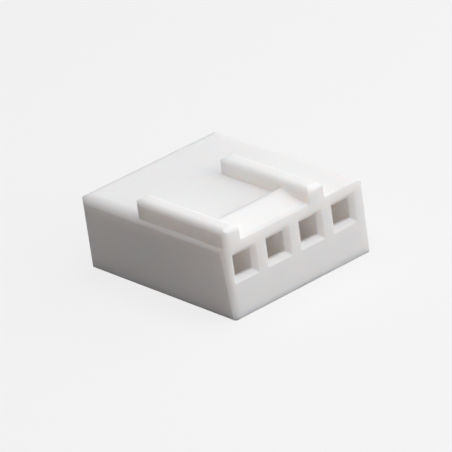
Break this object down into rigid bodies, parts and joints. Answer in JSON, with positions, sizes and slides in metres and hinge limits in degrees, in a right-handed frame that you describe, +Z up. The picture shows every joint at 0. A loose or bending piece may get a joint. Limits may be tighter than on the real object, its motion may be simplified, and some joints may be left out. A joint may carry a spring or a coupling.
{
  "type": "wire to board connector housing",
  "caption": "White moulded wire to board connector housing: a single row of square sockets, two polarising ribs and a friction ramp on top, open terminal chambers at the wire end.",
  "frame": {"origin": "middle of the flat underside of the housing, halfway along its length and its width", "axes": "+X along the row of sockets, -Y is the mating direction with the sockets in the -Y face and the wires leaving at +Y, +Z up through the face with the ribs"},
  "size_m": [0.0108, 0.0126, 0.0056],
  "materials": {
    "housing_plastic": "moulded translucent white nylon, fine mould texture, soft sheen"
  },
  "bodies": {
    "root": {"housing": "housing_plastic"}
  },
  "joints": []
}
